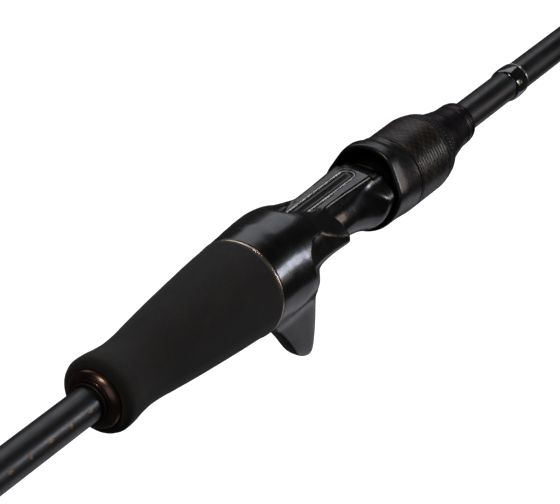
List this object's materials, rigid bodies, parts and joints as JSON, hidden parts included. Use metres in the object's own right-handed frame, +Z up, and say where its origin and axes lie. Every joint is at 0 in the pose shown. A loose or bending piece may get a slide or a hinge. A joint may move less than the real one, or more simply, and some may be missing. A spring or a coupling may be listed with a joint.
{
  "type": "casting fishing rod",
  "caption": "One-piece casting rod with a trigger reel seat, sliding hood and lock nut, split foam grips, raised line guides and a tip-top. It carries no reel.",
  "frame": {"origin": "centre of the butt cap's end face, on the rod's axis", "axes": "+X along the rod from the butt to the tip, +Z up, out of the reel deck and towards the line guides; the trigger hangs towards -Z"},
  "size_m": [1.83, 0.0306, 0.064],
  "materials": {
    "carbon_blank": "gloss black lacquer over carbon fibre, satin ahead of the seat",
    "eva_foam": "matte ground EVA foam, charcoal",
    "rubber": "satin black rubber",
    "bronze_anodised": "turned and anodised aluminium, dark bronze",
    "gunmetal_anodised": "turned and anodised aluminium, gunmetal",
    "gloss_black_seat": "moulded glass-filled nylon, gloss black",
    "inlay_plate": "inlaid plate, satin black with bright edges",
    "arbor_foam": "rigid foam bushing",
    "satin_black_hood": "moulded nylon, semi-gloss black",
    "liner_plastic": "matte black plastic",
    "spring_steel": "spring steel",
    "satin_black_nut": "moulded nylon, semi-gloss black",
    "woven_carbon": "woven carbon fibre under satin resin",
    "epoxied_thread": "black winding thread under gloss epoxy",
    "silver_trim": "silver metallic trim thread",
    "guide_metal": "polished black-chromed stainless steel",
    "guide_ceramic": "polished dark ceramic"
  },
  "bodies": {
    "rod": {"blank": "carbon_blank", "butt_cap": "rubber", "rear_grip": "eva_foam", "rear_grip_check": "bronze_anodised", "rear_grip_gasket": "rubber", "main_grip": "eva_foam", "main_grip_check": "bronze_anodised", "main_grip_gasket": "rubber", "grip_front_ring": "bronze_anodised", "seat_body": "gloss_black_seat", "deck_plate": "inlay_plate", "rear_arbor": "arbor_foam", "front_arbor": "arbor_foam", "front_check": "gunmetal_anodised", "front_check_gasket": "rubber", "handle_wrap": "epoxied_thread", "handle_wrap_trim": "silver_trim", "tip_top_frame": "guide_metal", "tip_top_ring": "guide_ceramic", "tip_top_wrap": "epoxied_thread", "guide_1_frame": "guide_metal", "guide_1_ring": "guide_ceramic", "guide_1_wraps": "epoxied_thread", "guide_2_frame": "guide_metal", "guide_2_ring": "guide_ceramic", "guide_2_wraps": "epoxied_thread", "guide_3_frame": "guide_metal", "guide_3_ring": "guide_ceramic", "guide_3_wraps": "epoxied_thread", "guide_4_frame": "guide_metal", "guide_4_ring": "guide_ceramic", "guide_4_wraps": "epoxied_thread", "guide_5_frame": "guide_metal", "guide_5_ring": "guide_ceramic", "guide_5_wraps": "epoxied_thread", "guide_6_frame": "guide_metal", "guide_6_ring": "guide_ceramic", "guide_6_wraps": "epoxied_thread", "guide_7_frame": "guide_metal", "guide_7_ring": "guide_ceramic", "guide_7_wraps": "epoxied_thread", "guide_8_frame": "guide_metal", "guide_8_ring": "guide_ceramic", "guide_8_wraps": "epoxied_thread"},
    "front_hood": {"front_hood": "satin_black_hood", "front_hood_liner": "liner_plastic", "hood_retainer": "spring_steel"},
    "lock_nut": {"lock_nut": "satin_black_nut", "nut_sleeve": "woven_carbon"}
  },
  "joints": [
    {"name": "hood_slide", "type": "slide", "parent": "rod", "child": "front_hood", "axis": [-1, 0, 0], "range_m": [0, 0.011]},
    {"name": "nut_spin", "type": "hinge", "parent": "front_hood", "child": "lock_nut", "pos_m": [0.3303, 0, 0], "axis": [-1, 0, 0], "range_deg": [0, 1980]}
  ],
  "couplings": [
    {"joint": "hood_slide", "follows": "nut_spin", "m_per_rad": 0.00031831}
  ]
}
